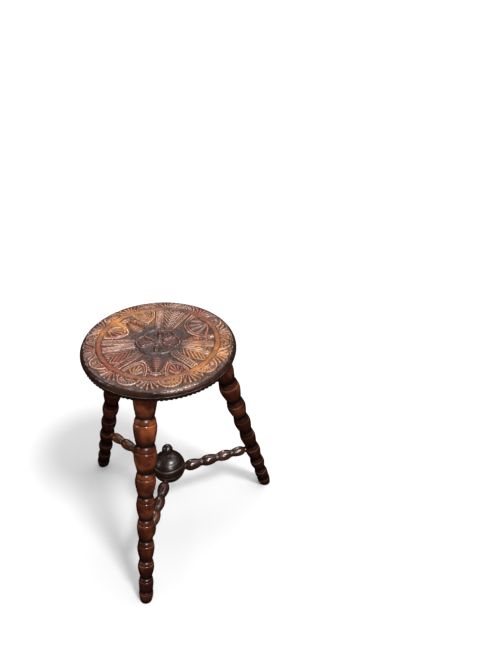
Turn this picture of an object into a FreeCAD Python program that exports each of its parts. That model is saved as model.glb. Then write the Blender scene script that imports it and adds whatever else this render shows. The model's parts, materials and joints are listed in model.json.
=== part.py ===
"""Round three-legged stool of piano height: carved seat, bobbin-turned legs, hub and stretchers.

Everything is turned wood.  The three splayed legs stand in blind sockets in the seat board.
Three stretchers run level from the legs to a turned ball on the stool's axis, and a knob
stands on the ball.  Millimetres, +Z up, the origin on the floor under the seat's centre,
the front leg towards -Y.
"""

import FreeCAD, Part
import Sketcher
import math
import os

V = FreeCAD.Vector

# Driving dimensions, in millimetres and degrees.
SIZES = {
    # the whole stool
    "stool_height": 490,
    "seat_diameter": 304,
    "board_thickness": 25,
    "foot_circle_radius": 238.5,
    "leg_splay": 15.5,
    "front_azimuth": -90,
    "leg_spacing": 120,
    # the rim of the seat board
    "rim_radius": 13,
    "ledge_height": 10,
    "ledge_fall": 0.8,
    "band_recess": 2.5,
    "underside_round": 2,
    # the legs: bobbins counted from the seat down, the tenth is the foot
    "bobbin1_length": 58,
    "bobbin2_length": 59,
    "bobbin3_length": 60,
    "bobbin4_length": 54,
    "bobbin5_length": 52,
    "bobbin6_length": 50.5,
    "bobbin7_length": 48,
    "bobbin8_length": 43,
    "bobbin9_length": 33.5,
    "bobbin1_diameter": 46,
    "bobbin2_diameter": 46,
    "bobbin3_diameter": 45.5,
    "bobbin4_diameter": 41,
    "bobbin5_diameter": 37.5,
    "bobbin6_diameter": 35.5,
    "bobbin7_diameter": 35,
    "bobbin8_diameter": 33.5,
    "bobbin9_diameter": 30.5,
    "foot_diameter": 29.5,
    "sole_diameter": 23,
    "shoulder_share": 0.4,
    "neck_share": 0.78,
    "foot_neck_share": 0.95,
    "saw_allowance": 9,
    # the round tenons and their sockets
    "leg_tenon_radius": 12,
    "leg_tenon_length": 17,
    "glue_gap": 0.1,
    "socket_end_gap": 0.6,
    # the stretchers, along the axis from the stool's centre outwards
    "stretcher_height": 130,
    "stretcher_tenon_radius": 7,
    "stretcher_inner_end": 20,
    "stretcher_outer_end": 199.5,
    "stretcher_start": 38,
    "link1_length": 38,
    "link2_length": 38,
    "link3_length": 36,
    "link4_length": 32,
    "link1_diameter": 25.5,
    "link2_diameter": 25,
    "link3_diameter": 24.5,
    "link4_diameter": 22.5,
    "link1_share": 0.36,
    "link2_share": 0.44,
    "link3_share": 0.54,
    "link4_share": 0.62,
    "stretcher_neck_radius": 7.6,
    # the turned ball where the stretchers meet
    "ball_radius": 37,
    "ball_height": 146,
    "ball_flat_top": 182,
    "ball_flat_bottom": 110,
    "upper_groove_height": 161,
    "lower_groove_height": 143,
    "groove_width": 2,
    "groove_depth": 1.1,
    # the knob on the ball
    "knob_radius": 12,
    "knob_centre_height": 198,
    "collar_radius": 9,
    "collar_thickness": 2.5,
    "knob_neck_radius": 6.5,
    "knob_neck_height": 186.6,
    "spigot_radius": 4,
    "spigot_length": 16,
}

LEG_BOBBINS = 9
STRETCHER_LINKS = 4
LEG_NAMES = ("front", "right", "left")
# how far a cutter reaches past the wood, a tenon starts inside it, and a bore runs out of it
CUTTER_REACH = 45
OVERLAP = 12
CLEARANCE = 5
# a coordinate closer to zero than this lies on the turning axis
ON_AXIS = 1e-9
# the tilt in degrees that lays a turned piece level
LEVEL = 90


class Size:
    """A number that remembers the sheet expression it comes from."""

    def __init__(self, value, text):
        self.value = float(value)
        self.text = text

    def __add__(self, other):
        other = as_size(other)
        return Size(self.value + other.value, f"({self.text} + {other.text})")

    def __sub__(self, other):
        other = as_size(other)
        return Size(self.value - other.value, f"({self.text} - {other.text})")

    def __mul__(self, other):
        other = as_size(other)
        return Size(self.value * other.value, f"({self.text} * {other.text})")

    def __truediv__(self, other):
        other = as_size(other)
        return Size(self.value / other.value, f"({self.text} / {other.text})")


def as_size(number):
    return number if isinstance(number, Size) else Size(number, repr(float(number)))


def size(alias):
    return Size(SIZES[alias], f"sizes.{alias}")


def cosine(angle):
    return Size(math.cos(math.radians(angle.value)), f"cos({angle.text})")


def sine(angle):
    return Size(math.sin(math.radians(angle.value)), f"sin({angle.text})")


def tangent(angle):
    return Size(math.tan(math.radians(angle.value)), f"tan({angle.text})")


def root(area):
    return Size(math.sqrt(area.value), f"sqrt({area.text})")


def fill_sheet(doc):
    sheet = doc.addObject("Spreadsheet::Sheet", "sizes")
    for row, (alias, value) in enumerate(SIZES.items(), start=1):
        sheet.set(f"A{row}", alias)
        sheet.set(f"B{row}", str(value))
        sheet.setAlias(f"B{row}", alias)
    doc.recompute()


# ---------------------------------------------------------------- sketches and features


def origin_feature(body, role):
    return next(f for f in body.Origin.OriginFeatures if f.Role == role)


def new_sketch(body, name):
    """A sketch on the body's XZ plane: its x is the radius and its y the height."""
    sketch = body.newObject("Sketcher::SketchObject", name)
    sketch.AttachmentSupport = [(origin_feature(body, "XZ_Plane"), "")]
    sketch.MapMode = "FlatFace"
    return sketch


def pin(sketch, geometry, end, x, y):
    """Bind one point of the sketch to two sheet expressions."""
    for kind, coordinate in (("DistanceX", x), ("DistanceY", y)):
        if abs(coordinate.value) < ON_AXIS:
            axis = -2 if kind == "DistanceX" else -1
            sketch.addConstraint(Sketcher.Constraint("PointOnObject", geometry, end, axis))
            continue
        index = sketch.addConstraint(
            Sketcher.Constraint(kind, -1, 1, geometry, end, coordinate.value)
        )
        sketch.setExpression(f"Constraints[{index}]", coordinate.text)


def arc_centre(start, finish, square_at):
    """Centre, level with one end, of the arc whose tangent at that end is upright."""
    near, far = (start, finish) if square_at == "start" else (finish, start)
    across = near[0].value - far[0].value
    rise = near[1].value - far[1].value
    x = (near[0].value ** 2 - far[0].value ** 2 - rise**2) / (2 * across)
    return V(x, near[1].value, 0)


def outline(sketch, corners):
    """Closed outline through (x, y, run) corners; run says how it goes on from there.

    "line" is straight, "start" or "end" is an arc upright at that end of it, and a pair is
    an arc about that centre.
    """
    edges = []
    for index, (x, y, run) in enumerate(corners):
        next_x, next_y, _ = corners[(index + 1) % len(corners)]
        start, finish = V(x.value, y.value, 0), V(next_x.value, next_y.value, 0)
        if run == "line":
            edges.append((sketch.addGeometry(Part.LineSegment(start, finish)), 1, 2))
            continue
        if run in ("start", "end"):
            centre = arc_centre((x, y), (next_x, next_y), run)
        else:
            centre = V(run[0].value, run[1].value, 0)
        radius = centre.distanceToPoint(start)
        first = math.atan2(start.y - centre.y, start.x - centre.x)
        last = math.atan2(finish.y - centre.y, finish.x - centre.x)
        turns_left = (last - first) % (2 * math.pi) < math.pi
        circle = Part.Circle(centre, V(0, 0, 1), radius)
        span = (first, last) if turns_left else (last, first)
        added = sketch.addGeometry(Part.ArcOfCircle(circle, *span))
        edges.append((added, 1, 2) if turns_left else (added, 2, 1))
    for index, (edge, head, tail) in enumerate(edges):
        next_edge, next_head, _ = edges[(index + 1) % len(edges)]
        sketch.addConstraint(
            Sketcher.Constraint("Coincident", edge, tail, next_edge, next_head)
        )
        x, y, run = corners[index]
        pin(sketch, edge, head, x, y)
        if run == "start":
            sketch.addConstraint(Sketcher.Constraint("Horizontal", edge, 3, edge, head))
        elif run == "end":
            sketch.addConstraint(Sketcher.Constraint("Horizontal", edge, 3, edge, tail))
        elif run != "line" and abs(run[0].value) < ON_AXIS:
            sketch.addConstraint(Sketcher.Constraint("PointOnObject", edge, 3, -2))
        elif run != "line":
            index_of_x = sketch.addConstraint(
                Sketcher.Constraint("DistanceX", -1, 1, edge, 3, run[0].value)
            )
            sketch.setExpression(f"Constraints[{index_of_x}]", run[0].text)


def axis_line(sketch, start, finish):
    """A construction line to turn a profile about."""
    ends = [V(x.value, y.value, 0) for x, y in (start, finish)]
    line = sketch.addGeometry(Part.LineSegment(*ends), True)
    pin(sketch, line, 1, *start)
    pin(sketch, line, 2, *finish)


def rectangle(left, bottom, right, top, move=None):
    """Four corners, each passed through move if one is given."""
    corners = ((left, bottom), (right, bottom), (right, top), (left, top))
    moved = [move(*corner) if move else corner for corner in corners]
    return [(x, y, "line") for x, y in moved]


def turn(body, sketch, kind="PartDesign::Revolution", axis="V_Axis"):
    """Turn the sketch right round: Revolution adds wood, Groove takes it away."""
    feature = body.newObject(kind, sketch.Name + "_turned")
    feature.Profile = (sketch, [""])
    feature.ReferenceAxis = (sketch, [axis])
    feature.Angle = 360
    body.Tip = feature
    return feature


def saw_off(body, sketch):
    """Cut everything that the sketch covers, on both sides of its plane."""
    feature = body.newObject("PartDesign::Pocket", sketch.Name + "_cut")
    feature.Profile = (sketch, [""])
    feature.Type = "ThroughAll"
    feature.Midplane = True
    body.Tip = feature


def three_round(body, feature):
    """Repeat a feature at each of the three legs."""
    pattern = body.newObject("PartDesign::PolarPattern", feature.Name + "_by_three")
    pattern.Originals = [feature]
    pattern.Axis = (origin_feature(body, "Z_Axis"), [""])
    pattern.Angle = 360
    pattern.Occurrences = len(LEG_NAMES)
    body.Tip = pattern


def new_body(doc, name):
    body = doc.addObject("PartDesign::Body", name)
    body.Label = name
    return body


def place(body, x, y, z, yaw, pitch):
    """Bind the body's Placement to the sheet: a turn of pitch about Y, then of yaw about Z."""
    body.setExpression(
        "Placement",
        f"placement(vector({x.text}; {y.text}; {z.text}); rotation({yaw.text}; {pitch.text}; 0))",
    )


# ---------------------------------------------------------------- shared measures

SPLAY = size("leg_splay")
BOARD_UNDERSIDE = size("stool_height") - size("board_thickness")
LEG_TOP = BOARD_UNDERSIDE / cosine(SPLAY)
ZERO = Size(0, "0")


def leg_azimuth(number):
    return size("front_azimuth") + size("leg_spacing") * number


def in_leg(across, up):
    """A point of the upright plane through a leg, in that leg's own tilted axes.

    across is the distance outwards from the leg's foot point, and up the height.
    """
    return (
        across * cosine(SPLAY) + up * sine(SPLAY),
        up * cosine(SPLAY) - across * sine(SPLAY),
    )


# ---------------------------------------------------------------- the pieces


def make_seat_board(doc):
    """Round board: quarter-round rim over a thin ledge, and a band set back under it."""
    body = new_body(doc, "seat_board")
    edge = size("seat_diameter") / 2
    band = edge - size("band_recess")
    top = size("stool_height")
    ledge = BOARD_UNDERSIDE + size("ledge_height")
    rim_centre = (edge - size("rim_radius"), top - size("rim_radius"))
    round_below = size("underside_round")
    round_centre = (band - round_below, BOARD_UNDERSIDE + round_below)
    sketch = new_sketch(body, "board_profile")
    outline(
        sketch,
        [
            (ZERO, BOARD_UNDERSIDE, "line"),
            (band - round_below, BOARD_UNDERSIDE, round_centre),
            (band, BOARD_UNDERSIDE + round_below, "line"),
            (band, ledge - size("ledge_fall"), "line"),
            (edge, ledge, "line"),
            (edge, rim_centre[1], rim_centre),
            (rim_centre[0], top, "line"),
            (ZERO, top, "line"),
        ],
    )
    turn(body, sketch)

    socket = new_sketch(body, "leg_socket")
    radius = size("leg_tenon_radius") + size("glue_gap")
    foot = size("foot_circle_radius")
    below, depth = LEG_TOP - OVERLAP, LEG_TOP + size("leg_tenon_length") + size("socket_end_gap")

    def on_axis(off, along):
        """A point at a height along the leg's axis and a distance inwards off it."""
        return (
            foot - along * sine(SPLAY) - off * cosine(SPLAY),
            along * cosine(SPLAY) - off * sine(SPLAY),
        )

    outline(socket, rectangle(ZERO, below, radius, depth, on_axis))
    axis_line(socket, on_axis(ZERO, below), on_axis(ZERO, depth))
    three_round(body, turn(body, socket, "PartDesign::Groove", "Axis0"))
    place(body, ZERO, ZERO, ZERO, size("front_azimuth"), ZERO)
    return body


def leg_corners():
    """Half outline of a leg from below the sole up to above the seat's underside."""
    corners = [(ZERO, LEG_TOP + size("saw_allowance"), "line")]
    below = LEG_TOP
    for number in range(1, LEG_BOBBINS + 1):
        bobbin = size(f"bobbin{number}_diameter") / 2
        length = size(f"bobbin{number}_length")
        neck = bobbin * size("neck_share")
        if number == 1:
            corners.append((neck, LEG_TOP + size("saw_allowance"), "line"))
        corners.append((neck, below, "end"))
        corners.append((bobbin, below - length * size("shoulder_share"), "start"))
        below = below - length
    foot = size("foot_diameter") / 2
    corners.append((foot * size("foot_neck_share"), below, "end"))
    corners.append((foot, below - below * size("shoulder_share"), "start"))
    corners.append((size("sole_diameter") / 2, ZERO - size("saw_allowance"), "line"))
    corners.append((ZERO, ZERO - size("saw_allowance"), "line"))
    return corners


def make_leg(doc, number):
    """Bobbin-turned leg, sawn level at both ends, with a tenon and a stretcher socket."""
    name = LEG_NAMES[number]
    body = new_body(doc, f"leg_{name}")
    foot = size("foot_circle_radius")
    reach = as_size(CUTTER_REACH)

    profile = new_sketch(body, f"leg_{name}_profile")
    outline(profile, leg_corners())
    turn(body, profile)

    floor_cut = new_sketch(body, f"leg_{name}_floor")
    outline(floor_cut, rectangle(ZERO - reach, ZERO - reach, reach, ZERO, in_leg))
    saw_off(body, floor_cut)

    seat_cut = new_sketch(body, f"leg_{name}_seat")
    middle = ZERO - BOARD_UNDERSIDE * tangent(SPLAY)
    cutter = rectangle(
        middle - reach, BOARD_UNDERSIDE, middle + reach, BOARD_UNDERSIDE + reach, in_leg
    )
    outline(seat_cut, cutter)
    saw_off(body, seat_cut)

    tenon = new_sketch(body, f"leg_{name}_tenon")
    tenon_end = LEG_TOP + size("leg_tenon_length")
    outline(tenon, rectangle(ZERO, LEG_TOP - OVERLAP, size("leg_tenon_radius"), tenon_end))
    turn(body, tenon)

    socket = new_sketch(body, f"leg_{name}_socket")
    level = size("stretcher_height")
    radius = size("stretcher_tenon_radius") + size("glue_gap")
    blind_end = size("stretcher_outer_end") + size("socket_end_gap") - foot
    open_end = blind_end - reach
    outline(socket, rectangle(open_end, level, blind_end, level + radius, in_leg))
    axis_line(socket, in_leg(open_end, level), in_leg(blind_end, level))
    turn(body, socket, "PartDesign::Groove", "Axis0")

    azimuth = leg_azimuth(number)
    place(body, foot * cosine(azimuth), foot * sine(azimuth), ZERO, azimuth, ZERO - SPLAY)
    return body


def make_stretcher(doc, number):
    """Level rail of four turned links between plain round tenons."""
    name = LEG_NAMES[number]
    body = new_body(doc, f"stretcher_{name}")
    tenon = size("stretcher_tenon_radius")
    # the rail lies along the sketch's upright axis, and the Placement lays it down
    corners = [(ZERO, size("stretcher_inner_end"), "line")]
    corners.append((tenon, size("stretcher_inner_end"), "line"))
    along = size("stretcher_start")
    for link in range(1, STRETCHER_LINKS + 1):
        radius = size(f"link{link}_diameter") / 2
        length = size(f"link{link}_length")
        start = tenon if link == 1 else size("stretcher_neck_radius")
        corners.append((start, along, "end"))
        corners.append((radius, along + length * size(f"link{link}_share"), "start"))
        along = along + length
    corners.append((tenon, along, "line"))
    corners.append((tenon, size("stretcher_outer_end"), "line"))
    corners.append((ZERO, size("stretcher_outer_end"), "line"))
    sketch = new_sketch(body, f"stretcher_{name}_profile")
    outline(sketch, corners)
    turn(body, sketch)
    place(body, ZERO, ZERO, size("stretcher_height"), leg_azimuth(number), as_size(LEVEL))
    return body


def ball_corners():
    """Half outline of the ball: flat top and bottom, and a V groove each side of a bead."""
    centre = (ZERO, size("ball_height"))
    radius = size("ball_radius")

    def on_ball(height, set_in=0):
        rise = height - centre[1]
        return root(radius * radius - rise * rise) - set_in

    half = size("groove_width") / 2
    bottom, top = size("ball_flat_bottom"), size("ball_flat_top")
    corners = [(ZERO, bottom, "line"), (on_ball(bottom), bottom, centre)]
    for groove in (size("lower_groove_height"), size("upper_groove_height")):
        corners.append((on_ball(groove - half), groove - half, "line"))
        corners.append((on_ball(groove, size("groove_depth")), groove, "line"))
        corners.append((on_ball(groove + half), groove + half, centre))
    corners.append((on_ball(top), top, "line"))
    corners.append((ZERO, top, "line"))
    return corners


def make_hub(doc):
    """Turned ball: three level sockets for the stretchers, one upright for the knob."""
    body = new_body(doc, "hub")
    sketch = new_sketch(body, "hub_profile")
    outline(sketch, ball_corners())
    turn(body, sketch)

    spigot_hole = new_sketch(body, "hub_spigot_hole")
    top = size("ball_flat_top")
    deep = top - size("spigot_length") - size("socket_end_gap")
    radius = size("spigot_radius") + size("glue_gap")
    outline(spigot_hole, rectangle(ZERO, deep, radius, top + CLEARANCE))
    turn(body, spigot_hole, "PartDesign::Groove")

    socket = new_sketch(body, "hub_socket")
    level = size("stretcher_height")
    inner = size("stretcher_inner_end") - size("socket_end_gap")
    outer = size("ball_radius") + CLEARANCE
    radius = size("stretcher_tenon_radius") + size("glue_gap")
    outline(socket, rectangle(inner, level, outer, level + radius))
    axis_line(socket, (inner, level), (outer, level))
    three_round(body, turn(body, socket, "PartDesign::Groove", "Axis0"))
    place(body, ZERO, ZERO, ZERO, size("front_azimuth"), ZERO)
    return body


def make_finial(doc):
    """Turned knob: spigot, thin collar, short neck and a ball."""
    body = new_body(doc, "finial")
    spigot, collar = size("spigot_radius"), size("collar_radius")
    neck, knob = size("knob_neck_radius"), size("knob_radius")
    seat = size("ball_flat_top")
    collar_top = seat + size("collar_thickness")
    neck_height = size("knob_neck_height")
    middle = size("knob_centre_height")
    knob_start = middle - root(knob * knob - neck * neck)
    sketch = new_sketch(body, "finial_profile")
    outline(
        sketch,
        [
            (ZERO, seat - size("spigot_length"), "line"),
            (spigot, seat - size("spigot_length"), "line"),
            (spigot, seat, "line"),
            (collar, seat, "line"),
            (collar, collar_top, "line"),
            (neck, neck_height, "line"),
            (neck, knob_start, (ZERO, middle)),
            (knob, middle, (ZERO, middle)),
            (ZERO, middle + knob, "line"),
        ],
    )
    turn(body, sketch)
    place(body, ZERO, ZERO, ZERO, size("front_azimuth"), ZERO)
    return body


def check(doc, pieces):
    """Stop before anything is written if any object failed or any piece is not sound."""
    for item in doc.Objects:
        bad = [word for word in item.State if word in ("Invalid", "Error")]
        if bad:
            raise RuntimeError(f"{item.Label}: {bad}")
    for piece in pieces:
        if piece.Shape.isNull() or not piece.Shape.isValid() or len(piece.Shape.Solids) != 1:
            raise RuntimeError(f"{piece.Label}: not one sound solid")


def main():
    doc = FreeCAD.newDocument("stool")
    fill_sheet(doc)
    pieces = [make_seat_board(doc)]
    for number in range(len(LEG_NAMES)):
        pieces.append(make_leg(doc, number))
        pieces.append(make_stretcher(doc, number))
    pieces.append(make_hub(doc))
    pieces.append(make_finial(doc))
    doc.recompute()
    check(doc, pieces)
    os.makedirs("parts", exist_ok=True)
    for piece in pieces:
        box = piece.Shape.BoundBox
        piece.Shape.exportStep(f"parts/{piece.Label}.step")
        print(
            f"{piece.Label}: {piece.Shape.Volume / 1000:.1f} cm3,"
            f" z {box.ZMin:.1f} to {box.ZMax:.1f}"
        )


main()
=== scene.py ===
"""Looks of a round carved three-legged stool: carved seat, turned legs, stretchers, ball, knob.

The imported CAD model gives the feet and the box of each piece.  Each CAD node is replaced by a
finer mesh of the same piece: the seat board is carved as real relief, and the turned pieces get
their beads, incised lines and small unevenness.  The measures below are millimetres, and the
scene itself is in metres.
"""

import bpy
import json
import math
import numpy as np
from mathutils import Matrix, Vector


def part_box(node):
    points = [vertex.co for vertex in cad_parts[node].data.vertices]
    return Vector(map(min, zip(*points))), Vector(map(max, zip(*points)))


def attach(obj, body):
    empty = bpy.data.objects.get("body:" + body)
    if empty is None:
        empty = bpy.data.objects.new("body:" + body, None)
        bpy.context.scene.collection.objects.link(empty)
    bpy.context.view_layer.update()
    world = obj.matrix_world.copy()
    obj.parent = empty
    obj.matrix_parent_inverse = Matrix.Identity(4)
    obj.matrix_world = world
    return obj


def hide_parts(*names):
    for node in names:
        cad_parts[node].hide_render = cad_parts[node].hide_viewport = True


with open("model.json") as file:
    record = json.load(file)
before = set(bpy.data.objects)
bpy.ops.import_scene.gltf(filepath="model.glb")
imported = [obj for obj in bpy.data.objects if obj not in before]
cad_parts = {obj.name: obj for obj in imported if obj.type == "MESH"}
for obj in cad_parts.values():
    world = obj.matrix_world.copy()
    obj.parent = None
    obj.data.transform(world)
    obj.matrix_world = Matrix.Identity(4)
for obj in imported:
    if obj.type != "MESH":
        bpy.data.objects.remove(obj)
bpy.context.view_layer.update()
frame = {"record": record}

MM = 0.001
TAU = 2 * math.pi

# ---------------------------------------------------------------- measures from the frame

record = frame["record"]
feet = {m["name"]: Vector(m["pos_m"]) / MM for m in record["mounts"] if "foot_" in m["name"]}
seat_low, seat_high = (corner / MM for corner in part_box("seat_board"))
hub_low, hub_high = (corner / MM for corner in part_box("hub"))
finial_low, finial_high = (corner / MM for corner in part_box("finial"))
rail_low, rail_high = (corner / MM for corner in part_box("stretcher_front"))

SEAT_RADIUS = (seat_high.y - seat_low.y) / 2
SEAT_TOP = seat_high.z
SEAT_UNDERSIDE = seat_low.z
BALL_RADIUS = (hub_high.x - hub_low.x) / 2
BALL_TOP, BALL_BOTTOM = hub_high.z, hub_low.z
RAIL_HEIGHT = (rail_low.z + rail_high.z) / 2
KNOB_RADIUS = (finial_high.x - finial_low.x) / 2

# ---------------------------------------------------------------- shape measures, in mm

# seat board: a square grid bent to a disc carries the carving, and rings go on round the rim
RIM_RADIUS = 13.0
RIM_STEPS = 8
LEDGE_HEIGHT = 10.0
BEAD_HEIGHT = 1.8
BEAD_BULGE = 0.9
BEAD_STEPS = 6
BAND_RECESS = 2.5
BAND_DROP = 1.4
TEETH = 104
TOOTH_DEPTH = 1.3
TOOTH_STEPS = 6
GRID_RINGS = 130
GRID_RADIUS = 146.0

# carving: heights are below the uncarved face, angles in degrees from the stool's right side
DEEP = 3.6
CREST = -0.3
STRAP_CREST = -0.35
GAP = 1.3
GAP_FLOOR = -0.92 * DEEP
GROUND = -0.75 * DEEP
CENTRE_GROUND_RADIUS = 56.0
PUNCH_DEPTH = 0.9
PUNCH_RADIANS_PER_MM = 1.2
PATTERN_SHIFT = (-1.5, 4.0)
WANDER = 1.7
WANDER_SIZE = 16.0
# size, depth and seed of the unevenness that the knife left
KNIFE_MARKS = ((7.0, 0.22, 3), (2.1, 0.30, 5))
RING_OUTER = 120.5
RING_INNER = 111.0
RING_MIDDLE = (RING_OUTER + RING_INNER) / 2
RING_HALF_WIDTH = (RING_OUTER - RING_INNER) / 2
BORDER_EDGE = 143.5
CARVED_LIMIT = BORDER_EDGE + 4
CARVED_FADE = 6.5
BORDER_REPEATS = 10
BORDER_START = 6.0
BORDER_ARCH = 22.5
ROSETTE_RADIUS = 42.0
ROSETTE_TURN = 8.0
ROSETTE_SCALLOP = 34.0
PETALS = 6
BOSS_RADIUS = 7.5
STRAP_START = 44.5
STRAP_HALF_WIDTH = 7.4
STRAP_EDGE = 4.6
STRAP_RIB = 4.8
LEAF_TIP = 48.0
LEAF_HALF_WIDTH = 21.0
PALMETTE_REACH = 50.0
PALMETTE_LOBE = 7.0
# stands for a distance that is outside every motif
FAR = 99.0
# angle, half width, rise towards the centre, and whether it holds arcs or a fan of flutes
LUNETTES = (
    (41, 46, 46, "fan"),
    (121, 25, 43, "arcs"),
    (168, 30, 47, "fan"),
    (259, 24, 42, "fan"),
    (303, 24, 42, "fan"),
)
# angle, and whether the ribs run along the strap or across it
STRAPS = (
    (4, "along"),
    (73, "along"),
    (102, "across"),
    (192, "along"),
    (205, "along"),
    (239, "across"),
    (322, "across"),
)
# angle and half of the opening between the straps on either side
LEAVES = ((87.5, 14.5), (222, 17), (343, 21))
PALMETTES = (18, 145, 281)
# the dark middle of the seat, and the depths that count as a full hollow or crest
PATINA_RADIUS = 66.0
PATINA_FADE = 24.0
LOCAL_DEPTH = 1.1
# angle, radius, reach and strength of soft areas: honey from wear, stained red, greyed, painted rim
# highlight
AREA_SHARPNESS = 1.4
HONEY_AREAS = (
    (125, 88, 34, 1.0),
    (158, 92, 22, 0.9),
    (345, 90, 26, 1.0),
    (10, 78, 16, 0.6),
    (255, 90, 16, 0.5),
    (325, 134, 30, 0.9),
    (352, 130, 32, 1.0),
    (15, 132, 26, 0.6),
    (295, 136, 26, 0.6),
    (135, 134, 24, 0.3),
    (150, 116, 22, 0.9),
    (175, 116, 16, 0.7),
)
RED_AREAS = (
    (178, 86, 16, 1.0),
    (228, 92, 22, 1.0),
    (205, 118, 20, 0.9),
    (235, 116, 22, 0.8),
    (190, 26, 18, 0.8),
    (5, 26, 20, 0.9),
    (80, 34, 18, 0.6),
    (301, 86, 16, 0.8),
    (60, 116, 22, 0.7),
    (20, 88, 14, 0.7),
)
GREY_AREAS = (
    (205, 84, 16, 0.9),
    (245, 76, 14, 0.8),
    (42, 84, 30, 0.8),
    (75, 134, 40, 0.7),
    (110, 134, 30, 0.7),
    (210, 134, 34, 0.7),
    (255, 136, 30, 0.6),
    (85, 116, 44, 0.9),
    (55, 118, 22, 0.5),
)
# painted highlight on the front of the rim
RIM_HIGHLIGHT_AREAS = (
    (292, 148, 18, 0.4),
    (303, 148, 20, 0.55),
    (316, 148, 18, 0.35),
)

# legs, bobbin by bobbin from the seat down; the last is the foot, which takes the rest
LEG_SPLAY = math.radians(15.5)
BOBBIN_LENGTHS = (58, 59, 60, 54, 52, 50.5, 48, 43, 33.5)
BOBBIN_RADII = (23, 23, 22.75, 20.5, 18.75, 17.75, 17.5, 16.75, 15.25, 14.75)
SOLE_RADIUS = 12.4
SHOULDER_SHARE = 0.4
NECK_SHARE = 0.78
FOOT_NECK_SHARE = 0.95
WAIST = 0.32
LEG_STATIONS = 600
SOLE_TRIM = 0.05
TOP_TRIM = 0.4
TRIM_FADE = 26.0

# stretchers, from the ball outwards
LINK_LENGTHS = (38, 38, 36, 32)
LINK_RADII = (12.75, 12.5, 12.25, 11.25)
LINK_SHARES = (0.36, 0.44, 0.54, 0.62)
LINK_START = 38.0
RAIL_NECK = 7.6
RAIL_TENON = 7.0
RAIL_ENDS = (30.0, 192.0)
RAIL_STATIONS = 230
RAIL_SIDES = 48

# ball and knob
BALL_CENTRE = (BALL_TOP + BALL_BOTTOM) / 2
BALL_GROOVES = (BALL_CENTRE - 3, BALL_CENTRE + 15)
UPPER_LINE = BALL_CENTRE + 27
LOWER_LINE = BALL_CENTRE - 26
BALL_SIDES = 96
BALL_STATIONS = 190
KNOB_TOP = finial_high.z
KNOB_CENTRE = KNOB_TOP - KNOB_RADIUS
KNOB_LINE = KNOB_CENTRE - 4
KNOB_NECK = 6.4
KNOB_COLLAR = 2.6
KNOB_SPIGOT = 4.0
COLLAR_TOP = BALL_TOP + 2.5
KNOB_SIDES = 48

# colours of the carved seat
BROWN_DARK = (0.0595, 0.0224, 0.0126, 1)
BROWN_LIGHT = (0.1200, 0.0440, 0.0240, 1)
DUSTY_BROWN = (0.1330, 0.0735, 0.0574, 1)
PLUM_BROWN = (0.1150, 0.0330, 0.0340, 1)
HONEY = (0.3600, 0.1450, 0.0280, 1)
RED_STAIN = (0.1900, 0.0240, 0.0130, 1)
RING_LIGHT = (0.1900, 0.0600, 0.0180, 1)
RING_DARK = (0.0900, 0.0260, 0.0110, 1)
RING_BRIGHT = (0.3300, 0.1230, 0.0240, 1)
RED_RING = (0.1400, 0.0294, 0.0154, 1)
DULL_RING = (0.0900, 0.0400, 0.0240, 1)
PATINA_DARK = (0.0130, 0.0065, 0.0065, 1)
PATINA_LIGHT = (0.0720, 0.0360, 0.0330, 1)
# painted highlight for the carved crests
CREST_HIGHLIGHT = (0.4300, 0.2700, 0.1900, 1)
# dirt with painted shade in the hollows; the lighter one also darkens random blotches
DIRT_AND_SHADE_DARK = (0.0056, 0.0028, 0.0021, 1)
DIRT_AND_SHADE_LIGHT = (0.0238, 0.0112, 0.0070, 1)
RIM_DARK = (0.0140, 0.0070, 0.0049, 1)
RIM_LIGHT = (0.0420, 0.0210, 0.0147, 1)
# painted shade under the rim and on the underside
UNDER_RIM_SHADE = (0.0056, 0.0035, 0.0028, 1)
# painted highlight on the rim
RIM_HIGHLIGHT_COLOUR = (0.2300, 0.1450, 0.1150, 1)
SEAT_IOR = 1.42
# what the mesh of the seat tells its material at each point; band is painted shade, the last mark a
# painted highlight
SEAT_MARKS = (
    "carved",
    "hollow",
    "crest",
    "ring",
    "patina",
    "rim",
    "band",
    "honey",
    "red",
    "grey",
    "rim_highlight",
)

# turned wood: painted edge highlight, and the distances in metres along a piece over which painted
# shade fades
EDGE_HIGHLIGHT = (0.3000, 0.1800, 0.1300, 1)
LIGHTENS_OVER = (0.06, 0.34)

# camera: it stands in front of the stool, to its right, and looks down; metres, then degrees
CAMERA_PLACE = (0.314, -1.044, 1.2764)
CAMERA_YAW = 7.33
CAMERA_PITCH = 35.36
CAMERA_ROLL = 0.77
# its lens and sensor, in mm
CAMERA_LENS = 36.86
SENSOR_WIDTH = 36.0

# floor, in metres
FLOOR_SIZE = 60.0
FLOOR_GREY = (0.41, 0.41, 0.41, 1)



# ---------------------------------------------------------------- small helpers


def smooth(t):
    """0 below 0, 1 above 1, and a smooth step between them."""
    t = np.clip(t, 0, 1)
    return t * t * (3 - 2 * t)


def inside(distance, soft=0.8):
    """1 where distance is negative, 0 where it is positive, with a soft edge."""
    return smooth(0.5 - distance / soft)


def ridge(distance, half_width):
    """A rounded ridge, 1 on its crest and 0 from half_width on."""
    return np.clip(1 - (distance / half_width) ** 2, 0, 1)


def bell(distance, height, width):
    """A soft line or bump: height where distance is 0, fading away past the width."""
    return height * np.exp(-((distance / width) ** 2))


def waves(a, b, seed):
    """Smooth seeded unevenness between about -1 and 1."""
    rng = np.random.default_rng(seed)
    total = np.zeros_like(a)
    for _ in range(7):
        fa, fb, phase = rng.uniform(0.4, 1.6), rng.uniform(0.4, 1.6), rng.uniform(0, TAU)
        total += np.sin(fa * a + fb * b * rng.choice((-1, 1)) + phase)
    return total / 3.5


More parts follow.
